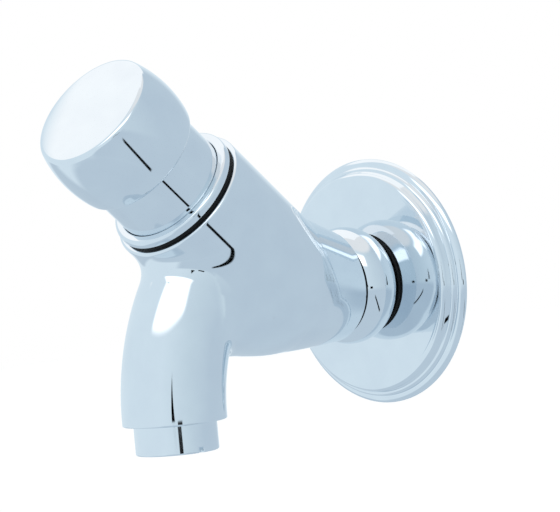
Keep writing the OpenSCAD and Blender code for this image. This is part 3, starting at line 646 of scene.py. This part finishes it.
# %% Ring nut and seal
RING_R = 20.2
RING_LOW = 51
RING_TOP = 53.5
RING_BORE_R = 17.42
SKIRT_R = 18.9
SKIRT_LOW = 36
WIPER_R = 18.5
WIPER_LOW = 50.4
WIPER_TOP = 52
SEAL_IN_R = 19
SEAL_R = 20.05

ring_nut = [(RING_BORE_R, SKIRT_LOW, 0.2), (SKIRT_R, SKIRT_LOW, 0.3), (SKIRT_R, RING_LOW, 0.1),
            (RING_R, RING_LOW, 0.25), (RING_R, RING_TOP, 1.2), (RING_BORE_R, RING_TOP, 0.4),
            (RING_BORE_R, WIPER_TOP, 0), (WIPER_R, WIPER_TOP, 0), (WIPER_R, WIPER_LOW, 0),
            (RING_BORE_R, WIPER_LOW, 0)]
turned_piece("ring_nut", rounded(ring_nut), barrel_axis, "tap", "bonnet_ring", chrome)
seal = [(SEAL_IN_R, BARREL_MOUTH, 0), (SEAL_R, BARREL_MOUTH, 0.3), (SEAL_R, RING_LOW, 0.3),
        (SEAL_IN_R, RING_LOW, 0)]
turned_piece("mouth_seal", rounded(seal), barrel_axis, "tap", "bonnet_seal", rubber)

# %% [markdown]
# ## Wall flange
# The cover plate on the wall is turned too: a rounded lip, two rounded steps, an almost flat face and a
# small fillet at the collar. The steps catch the light as fine bright rings, so their arcs are drawn with
# many points. Behind, the plate is hollow, and a groove near its rim holds the soft sealing ring.

# %% Flange
FLANGE_R = 37
FLANGE_HOLE_R = 12.4
HUB_R = 13.1
HUB_H = 5.8
DISH_H = 5
FACE_T = 2
HOLLOW_IN_R = 14.6
HOLLOW_OUT_R = 25.3
GASKET_IN_R = 26.8
GASKET_OUT_R = 32.8
GASKET_T = 1.6
# The lip, the step and the bead are arcs: centre, radius, first and last angle, number of steps.
LIP = ((34.8, -0.363), 2.363, 21.4, 86, 14)
STEP = ((33.4, 2), 1.4, 4, 84, 14)
BEAD = ((31.5, 4.3), 1.6, 3, 118, 20)

hollow = [(HOLLOW_IN_R, 0, 0.2), (HOLLOW_IN_R, DISH_H - FACE_T, 0.3), (HOLLOW_OUT_R, DISH_H - FACE_T, 0.3),
          (HOLLOW_OUT_R, 0, 0.2)]
groove = [(GASKET_IN_R, 0, 0.2), (GASKET_IN_R, GASKET_T, 0), (GASKET_OUT_R, GASKET_T, 0),
          (GASKET_OUT_R, 0, 0.2)]
steps = arc(*LIP) + arc(*STEP) + arc(*BEAD)
hub_fillet = HUB_H - DISH_H
hub = arc((HUB_R + HUB_H - DISH_H, HUB_H), hub_fillet, 268, 180)
back = [(FLANGE_HOLE_R, 0, 0.2)] + hollow + groove + [(FLANGE_R, 0, 0.1)]
flange = rounded(back + steps + hub + [(FLANGE_HOLE_R, HUB_H, 0)])
turned_piece("flange_plate", flange, inlet_axis, "tap", "wall_flange", chrome)

# %% [markdown]
# ## Tailpiece with its pipe thread
# The tailpiece joins tap and wall: a swelling collar in front, a spigot inside the casting and a pipe
# thread behind the wall. For the thread, a zigzag of one pitch after another is spun once round the
# axis while it also climbs one pitch, so each tooth runs on into the next one. Two cuts trim the ends,
# and the rings that they leave are drawn in to the bore.

# %% Collar, neck and spigot
TAIL_BORE_R = 7.5
TAIL_NECK_R = 12.3
COLLAR_FOOT_R = 14
COLLAR = ((9.137, 13.4), 8.463, -40, 46, 24)
COLLAR_FRONT = 19.2
SPIGOT_R = 12
SPIGOT_END = 30
GLAND_R = 10.1
GLAND_LOW = 24
GLAND_TOP = 26

tail = [(TAIL_BORE_R, 0, 0), (TAIL_NECK_R, 0, 0.3), (TAIL_NECK_R, HUB_H, 0), (COLLAR_FOOT_R, HUB_H, 0.3)]
spigot = [(SPIGOT_R, COLLAR_FRONT, 0), (SPIGOT_R, GLAND_LOW, 0.1), (GLAND_R, GLAND_LOW, 0),
          (GLAND_R, GLAND_TOP, 0), (SPIGOT_R, GLAND_TOP, 0.1), (SPIGOT_R, SPIGOT_END, 0.5),
          (TAIL_BORE_R, SPIGOT_END, 0.4)]
tail_bm = turn(rounded(tail + arc(*COLLAR) + spigot))
print("collar and spigot with", len(tail_bm.faces), "faces")

# %% Pipe thread
THREAD_R = 10.48
THREAD_ROOT_R = 9.32
THREAD_PITCH = 1.814
THREAD_LEN = 16
THREAD_STEPS = 96
THREAD_GAP = 0.01
SPARE_TURNS = 2
CUT_SLACK = 0.01
STRAINER_SEAT_R = 8.4
STRAINER_T = 1.5


def thread_skin():
    """The flanks of the thread, open at both ends, from below its rear end to above its front end.

    flank is one tooth, with its levels as shares of the pitch."""
    bm = bmesh.new()
    turns = int(THREAD_LEN / THREAD_PITCH) + 2 * SPARE_TURNS
    flank = [(THREAD_ROOT_R, 0), (THREAD_ROOT_R, 0.08), (THREAD_R, 0.44), (THREAD_R, 0.56),
             (THREAD_ROOT_R, 0.92)]
    zigzag = [(r, (k - SPARE_TURNS + share) * THREAD_PITCH) for k in range(turns) for r, share in flank]
    verts = [bm.verts.new((r * MM, 0, (level - THREAD_LEN) * MM)) for r, level in zigzag]
    edges = [bm.edges.new(pair) for pair in zip(verts, verts[1:])]
    bmesh.ops.spin(bm, geom=verts + edges, cent=(0, 0, 0), axis=(0, 0, 1), angle=2 * math.pi,
                   steps=THREAD_STEPS, dvec=(0, 0, THREAD_PITCH * MM / THREAD_STEPS))
    bmesh.ops.remove_doubles(bm, verts=bm.verts, dist=WELD * MM)
    return bm


def trim(bm, level, way, targets):
    """Cuts the thread square and draws the open ring in to the bore."""
    bmesh.ops.bisect_plane(bm, geom=bm.verts[:] + bm.edges[:] + bm.faces[:], dist=FINE_WELD * MM,
                           plane_co=(0, 0, level * MM), plane_no=(0, 0, way), clear_outer=True)
    ring = [edge for edge in bm.edges
            if edge.is_boundary and all(abs(v.co.z - level * MM) < CUT_SLACK * MM for v in edge.verts)]
    return draw_ring(bm, ring, targets)


thread = thread_skin()
seat = STRAINER_T - THREAD_LEN
rear_bore = [(STRAINER_SEAT_R, -THREAD_LEN), (STRAINER_SEAT_R, seat), (TAIL_BORE_R, seat)]
rear = trim(thread, -THREAD_LEN, -1, rear_bore)
front = trim(thread, -THREAD_GAP, 1, [(TAIL_BORE_R, -THREAD_GAP)])
bmesh.ops.bridge_loops(thread, edges=rear + front)
bmesh.ops.recalc_face_normals(thread, faces=thread.faces)
pour(thread, tail_bm)
tail_bm.transform(inlet_axis)
tailpiece = add_object("inlet_collar", tail_bm)
even_normals(dress(tailpiece, "tap", "inlet_tailpiece", chrome))

# %% Seal behind the casting
INLET_SEAL_IN_R = 12.1
INLET_SEAL_R = 13.6

inlet_seal = [(INLET_SEAL_IN_R, COLLAR_FRONT, 0), (INLET_SEAL_R, COLLAR_FRONT, 0.15),
              (INLET_SEAL_R, ARM_REAR, 0.15), (INLET_SEAL_IN_R, ARM_REAR, 0)]
turned_piece("collar_seal", rounded(inlet_seal), inlet_axis, "tap", "inlet_seal", rubber)

# %% [markdown]
# ## Painted shade: a black ring at the foot of the collar
# A thin black ring lies in the corner between the cover plate and the collar. It is painted shade: it stands
# in for the shadowed gap there, which from the side shows as a dark crescent. It has no CAD node of its own,
# so it replaces nothing, and it is simply a small circle spun about the inlet.

# %% Black ring as painted shade at the collar foot
SHADE_RING_R = 14.36
SHADE_RING_HALF = 0.45
SHADE_RING_POINTS = 24

shade_ring_middle = (SHADE_RING_R, DISH_H + SHADE_RING_HALF)
last_angle = 360 - 360 / SHADE_RING_POINTS
shade_ring_bm = turn(rounded(arc(shade_ring_middle, SHADE_RING_HALF, 0, last_angle, SHADE_RING_POINTS - 1)))
shade_ring_bm.transform(inlet_axis)
# The black of this ring is painted shade in the gap between the collar and the cover plate.
painted_shade_ring = add_object("painted_shade_ring", shade_ring_bm)
painted_shade_ring.data.materials.append(rubber)
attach(painted_shade_ring, "tap")
print("foot ring with", len(painted_shade_ring.data.polygons), "faces")

# %% [markdown]
# ## Aerator
# The aerator ring screws into the spout from below. It is turned, and then a key cutter mills a few
# notches into its lower rim. A boolean modifier does the milling with small boxes, and the result goes
# into the mesh. The white jet former inside stays the CAD one, because its holes are already right.

# %% Aerator ring with key notches
AERATOR_R = 12.1
AERATOR_H = 8.6
AERATOR_IN_R = 9.8
AERATOR_LIP_R = 8.9
AERATOR_LIP_T = 1
AERATOR_THREAD_R = 11
AERATOR_THREAD_H = 7
NOTCH_W = 1.6
NOTCH_H = 1.7
NOTCH_FLOOR_R = 10.7
NOTCH_TURN = -8
NOTCH_COUNT = 2
NOTCH_BOX = 4
NOTCH_CLEAR = 0.2

aerator = [(AERATOR_LIP_R, -AERATOR_H, 0.2), (AERATOR_R, -AERATOR_H, 0.5),
           (AERATOR_R, NOTCH_H + NOTCH_CLEAR - AERATOR_H, 0), (AERATOR_R, 0, 0.35), (AERATOR_THREAD_R, 0, 0),
           (AERATOR_THREAD_R, AERATOR_THREAD_H, 0.3), (AERATOR_IN_R, AERATOR_THREAD_H, 0.3),
           (AERATOR_IN_R, AERATOR_LIP_T - AERATOR_H, 0), (AERATOR_LIP_R, AERATOR_LIP_T - AERATOR_H, 0.2)]
ring_bm = turn(rounded(aerator))
ring_bm.transform(outlet_axis)
aerator_ring = add_object("aerator_ring", ring_bm)

boxes = bmesh.new()
for k in range(NOTCH_COUNT):
    spot = Matrix.Rotation(math.radians(NOTCH_TURN + k * 360 / NOTCH_COUNT), 4, "Z")
    size = Matrix.Diagonal((NOTCH_BOX * MM, NOTCH_W * MM, 2 * NOTCH_H * MM, 1))
    out = Matrix.Translation(((NOTCH_FLOOR_R + NOTCH_BOX / 2) * MM, 0, -AERATOR_H * MM))
    bmesh.ops.create_cube(boxes, size=1, matrix=outlet_axis @ spot @ out @ size)
cutter = add_object("notch_cutter", boxes)
milling = aerator_ring.modifiers.new("notches", "BOOLEAN")
milling.object = cutter
milling.operation = "DIFFERENCE"
baked(aerator_ring)
bpy.data.objects.remove(cutter)
even_normals(dress(aerator_ring, "tap", "aerator_housing", chrome))

# %% [markdown]
# ## Return spring
# The spring is out of sight inside the button, but it has to shorten when the button goes down. A round wire
# section is spun about the barrel axis and climbs as it goes: one close turn at each end and open turns
# between.

# %% Coil
SPRING_R = 9
WIRE_R = 0.8
SPRING_LOW = 52.6
SPRING_TOP = 76.5
CLOSE_PITCH = 2.1
OPEN_TURNS = 5
COIL_STEPS = 32
WIRE_SEGMENTS = 12

wire_rise = SPRING_TOP - SPRING_LOW - 2 * WIRE_R
open_pitch = (wire_rise - 2 * CLOSE_PITCH) / OPEN_TURNS
coil = bmesh.new()
wire_start = Matrix.Translation((SPRING_R * MM, 0, (SPRING_LOW + WIRE_R) * MM))
upright = wire_start @ Matrix.Rotation(math.radians(90), 4, "X")
bmesh.ops.create_circle(coil, cap_ends=True, segments=WIRE_SEGMENTS, radius=WIRE_R * MM, matrix=upright)
end = coil.faces[:]
for turns, pitch in ((1, CLOSE_PITCH), (OPEN_TURNS, open_pitch), (1, CLOSE_PITCH)):
    made = bmesh.ops.spin(coil, geom=end, cent=(0, 0, 0), axis=(0, 0, 1), angle=turns * 2 * math.pi,
                          steps=turns * COIL_STEPS, dvec=(0, 0, pitch * MM / COIL_STEPS))
    end = [part for part in made["geom_last"] if isinstance(part, bmesh.types.BMFace)]
bmesh.ops.recalc_face_normals(coil, faces=coil.faces)
coil.transform(barrel_axis)
spring = dress(add_object("coil_spring", coil), "tap", "return_spring", steel)

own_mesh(spring)

# %% [markdown]
# ## Pieces that keep their CAD mesh
# The valve, its brake and the remaining seals sit inside the casting. Their CAD shapes are already what
# the real pieces are, so they only get their finishes, chosen by the record's material slots.

# %% Finishes for the CAD pieces
finishes = {"polished_chrome": chrome, "black_rubber": rubber, "grey_foam": foam, "turned_brass": brass,
            "stainless_steel": steel, "white_acetal": acetal}
for part in frame["record"]["subparts"]:
    kept = frame["nodes"][part["node"]]
    kept.data.materials.clear()
    kept.data.materials.append(finishes[part["material_slot"]])
# The wiper's blue grey is painted shade, standing in for the shadow band between the neck and the ring nut.
frame["nodes"]["neck_wiper"].data.materials[0] = wiper_shade_grey

# %% [markdown]
# ## Studio
# Chrome shows nothing but its surroundings, so the studio is most of the finish. The tap hangs in a pale
# room. The world is white where the camera looks past the tap, and for the mirror it is a pale blue wall
# that grows dimmer to the right, with soft white panels above. Narrow black strips on that wall draw the
# dark lines that make polished metal look hard: one slants, one is upright, and a short one lies low. They
# belong to the room, so each piece bends them in its own way. What the world sheds as light is plain white.

# %% Directions and masks
SEAM = 160


def along(azimuth):
    """Where an azimuth, in degrees from straight out of the wall towards +X, lies between 0 and 1."""
    return (azimuth - SEAM) / 360 + 1


def rise(elevation):
    """The height of a direction between -1 and 1, from its elevation in degrees, and past them at a pole."""
    return math.sin(math.radians(elevation)) if abs(elevation) < 90 else elevation / 45


def band(tree, value, low, high, soft):
    """A mask: 1 where a value lies between low and high and 0 elsewhere, with soft edges."""
    edges = []
    for middle in (low, high):
        inputs = {"From Min": middle - soft, "From Max": middle + soft}
        edges.append(add_node(tree, "ShaderNodeMapRange", {"interpolation_type": "SMOOTHSTEP"}, inputs,
                              {"Value": value}).outputs["Result"])
    between = add_node(tree, "ShaderNodeMath", {"operation": "SUBTRACT"}, links={0: edges[0], 1: edges[1]})
    return between.outputs["Value"]


def hang(tree, behind, masks, colour, level):
    """What was there, with a plain panel in front of it where both masks are 1."""
    inputs = {"Color": linear(colour), "Strength": level}
    panel = add_node(tree, "ShaderNodeBackground", inputs=inputs).outputs["Background"]
    share = add_node(tree, "ShaderNodeMath", {"operation": "MULTIPLY"}, links={0: masks[0], 1: masks[1]})
    links = {0: share.outputs["Value"], 1: behind, 2: panel}
    return add_node(tree, "ShaderNodeMixShader", links=links).outputs["Shader"]


world = bpy.data.worlds.new("pale_room")
scene.world = world
world.use_nodes = True
tree = world.node_tree
tree.nodes.clear()
facing = add_node(tree, "ShaderNodeTexCoord").outputs["Generated"]
turned = add_node(tree, "ShaderNodeVectorRotate", {"rotation_type": "Z_AXIS"},
                  {"Angle": math.radians(270 - SEAM)}, {"Vector": facing})
around = add_node(tree, "ShaderNodeTexGradient", {"gradient_type": "RADIAL"},
                  links={"Vector": turned.outputs["Vector"]}).outputs["Fac"]
height = add_node(tree, "ShaderNodeSeparateXYZ", links={"Vector": facing}).outputs["Z"]
print("azimuths start and end at", SEAM, "degrees")

# %% Wall and panels that the mirror sees
WALL = "#E3F0F8"
HALF_SHADE = "#D3E2EB"
SHADE = "#C7D6E2"
WHITE = "#FFFFFF"
BLACK = "#000000"
WALL_TONES = ((-162, SHADE), (-145, WALL), (20, WALL), (80, HALF_SHADE), (130, SHADE))
ROUND = (-230, 190)
# Each panel has its azimuths, elevations and softness in degrees, its colour and its strength.
PANELS = ((ROUND, (-90, -46), 7, SHADE, 1.0),
          ((-174, -86), (-50, -14), 7, SHADE, 0.98),
          ((14, 168), (-50, -9), 8, SHADE, 1.0),
          (ROUND, (59, 90), 5, WHITE, 0.92),
          ((-166, -66), (34.5, 90), 4, WHITE, 1.12),
          ((-17, 56), (31.3, 51), 5, WHITE, 1.7),
          ((53.6, 63.6), (-8, -4.3), 0.6, BLACK, 0.0))

ramp = add_node(tree, "ShaderNodeValToRGB", links={"Fac": around})
stops = ramp.color_ramp.elements
stops[0].color = linear(WALL_TONES[0][1])
stops[1].color = linear(WALL_TONES[-1][1])
for azimuth, shade in WALL_TONES:
    stops.new(along(azimuth)).color = linear(shade)
mirror = add_node(tree, "ShaderNodeBackground", links={"Color": ramp.outputs["Color"]}).outputs["Background"]
for azimuths, elevations, soft, colour, level in PANELS:
    sideways = band(tree, around, along(azimuths[0]), along(azimuths[1]), soft / 360)
    upright = band(tree, height, rise(elevations[0]), rise(elevations[1]), math.radians(soft) / 2)
    mirror = hang(tree, mirror, (sideways, upright), colour, level)
print("the mirror sees", len(PANELS), "panels")

# %% Dark strips on the wall
# The upright strip is a wedge: its half width, in degrees, shrinks from its foot to its tip.
WEDGE_MIDDLE = 44.5
WEDGE_TIP = 12
WEDGE_FOOT = -4.3
WEDGE_HALF = 3.4
WEDGE_SOFT = 0.3
FOOT_SOFT = 0.005
# The slanting strip lies where a direction is at a fixed level along SLANT_WAY, between two azimuths.
SLANT_WAY = (0.520, 0.640, 0.567)
SLANT_LEVEL = 0.0795
SLANT_HALF = 0.03
SLANT_ENDS = (73, 113)
SLANT_SOFT = 2
PAST_ALL = 2

taper = -WEDGE_HALF / 360 / (rise(WEDGE_TIP) - rise(WEDGE_FOOT))
half = add_node(tree, "ShaderNodeMath", {"operation": "MULTIPLY_ADD"},
                {1: taper, 2: -taper * rise(WEDGE_TIP)}, {0: height}).outputs["Value"]
offset = add_node(tree, "ShaderNodeMath", {"operation": "SUBTRACT"}, {1: along(WEDGE_MIDDLE)}, {0: around})
aside = add_node(tree, "ShaderNodeMath", {"operation": "ABSOLUTE"}, links={0: offset.outputs["Value"]})
spare = add_node(tree, "ShaderNodeMath", {"operation": "SUBTRACT"},
                 links={0: half, 1: aside.outputs["Value"]})
wedge = band(tree, spare.outputs["Value"], 0, PAST_ALL, WEDGE_SOFT / 360)
above_foot = band(tree, height, rise(WEDGE_FOOT), PAST_ALL, FOOT_SOFT)
mirror = hang(tree, mirror, (wedge, above_foot), BLACK, 0.0)
slant = add_node(tree, "ShaderNodeVectorMath", {"operation": "DOT_PRODUCT"}, {1: SLANT_WAY}, {0: facing})
narrow = band(tree, slant.outputs["Value"], SLANT_LEVEL - SLANT_HALF, SLANT_LEVEL + SLANT_HALF,
              SLANT_HALF / 4)
reach = band(tree, around, along(SLANT_ENDS[0]), along(SLANT_ENDS[1]), SLANT_SOFT / 360)
mirror = hang(tree, mirror, (narrow, reach), BLACK, 0.0)
print("the mirror sees an upright and a slanting strip")

# %% What the camera sees and what sheds light
ROOM_LIGHT = 0.55

path = add_node(tree, "ShaderNodeLightPath").outputs
clear = add_node(tree, "ShaderNodeMath", {"operation": "MAXIMUM"},
                 links={0: path["Is Camera Ray"], 1: path["Is Transmission Ray"]}).outputs["Value"]
plain, white = (add_node(tree, "ShaderNodeBackground", inputs={"Color": linear(WHITE), "Strength": level})
                for level in (ROOM_LIGHT, 1))
in_metal = add_node(tree, "ShaderNodeMixShader",
                    links={0: path["Is Glossy Ray"], 1: plain.outputs["Background"], 2: mirror})
seen = add_node(tree, "ShaderNodeMixShader",
                links={0: clear, 1: in_metal.outputs["Shader"], 2: white.outputs["Background"]})
add_node(tree, "ShaderNodeOutputWorld", links={"Surface": seen.outputs["Shader"]})
scene.view_settings.view_transform = "Standard"
print("pale room, its light at", ROOM_LIGHT)

# %% [markdown]
# ## Floor and lamp
# The floor is a plain pale sheet well below the tap. A little light of its own, for the camera only, keeps
# it as pale as the background. One wide area lamp gives the tap its soft light and shadow. Neither shows in
# the metal, because the room above already does that.

# %% Floor and lamp
FLOOR_LEVEL = -0.35
FLOOR_HALF = 4
FLOOR_MOTTLE = 60
FLOOR_LIFT = 0.5
LAMP_SIZE = 1.2
LAMP_POWER = 18
LAMP_PLACE = Vector((-0.2, -1.4, 1.5))

ground = bmesh.new()
bmesh.ops.create_grid(ground, x_segments=1, y_segments=1, size=FLOOR_HALF,
                      matrix=Matrix.Translation((0, 0, FLOOR_LEVEL)))
floor = add_object("floor", ground)
floor.visible_glossy = False
floor_paint, tree, shader, place = new_material("floor_paint")
mottle = add_node(tree, "ShaderNodeTexNoise", inputs={"Scale": 1 / (FLOOR_MOTTLE * MM), "Detail": 2},
                  links={"Vector": place})
tint(tree, shader, mottle.outputs["Fac"], ("#EDEEEF", "#F1F2F2"))
shader.inputs["Roughness"].default_value = 0.9
shader.inputs["Emission Color"].default_value = linear(WHITE)
path = add_node(tree, "ShaderNodeLightPath").outputs
lift = add_node(tree, "ShaderNodeMath", {"operation": "MULTIPLY"}, {1: FLOOR_LIFT},
                {0: path["Is Camera Ray"]})
tree.links.new(lift.outputs["Value"], shader.inputs["Emission Strength"])
floor.data.materials.append(floor_paint)

lamp_data = bpy.data.lights.new("soft_lamp", "AREA")
lamp_data.size = LAMP_SIZE
lamp_data.energy = LAMP_POWER
lamp = bpy.data.objects.new("soft_lamp", lamp_data)
lamp.matrix_world = Matrix.LocRotScale(LAMP_PLACE, (-LAMP_PLACE).to_track_quat("-Z", "Y"), None)
lamp.visible_glossy = False
scene.collection.objects.link(lamp)
print("floor at", FLOOR_LEVEL, "and a lamp of", LAMP_POWER, "W")

# %% [markdown]
# ## Camera
# The camera stands more than a metre away with a long lens, so the perspective is slight, as in a
# catalogue picture. Its place, aim, roll and lens were fitted until the outlines of the flange, the button
# and the spout fell where they should.

# %% Camera
IMAGE_W = 560
FOCAL_PX = 3962
SENSOR_W = 36
VIEW_FROM = Vector((0.8423, -0.8525, 0.0624))
VIEW_AT = Vector((-0.0208, -0.0198, 0.0102))
VIEW_ROLL = math.radians(-5.30)

camera_data = bpy.data.cameras.new("camera")
camera_data.sensor_width = SENSOR_W
camera_data.lens = SENSOR_W * FOCAL_PX / IMAGE_W
camera = bpy.data.objects.new("camera", camera_data)
scene.collection.objects.link(camera)
aim = (VIEW_AT - VIEW_FROM).to_track_quat("-Z", "Y") @ Quaternion((0, 0, 1), VIEW_ROLL)
camera.matrix_world = Matrix.LocRotScale(VIEW_FROM, aim, None)
scene.camera = camera
print("camera with a lens of", round(camera_data.lens, 1), "mm")
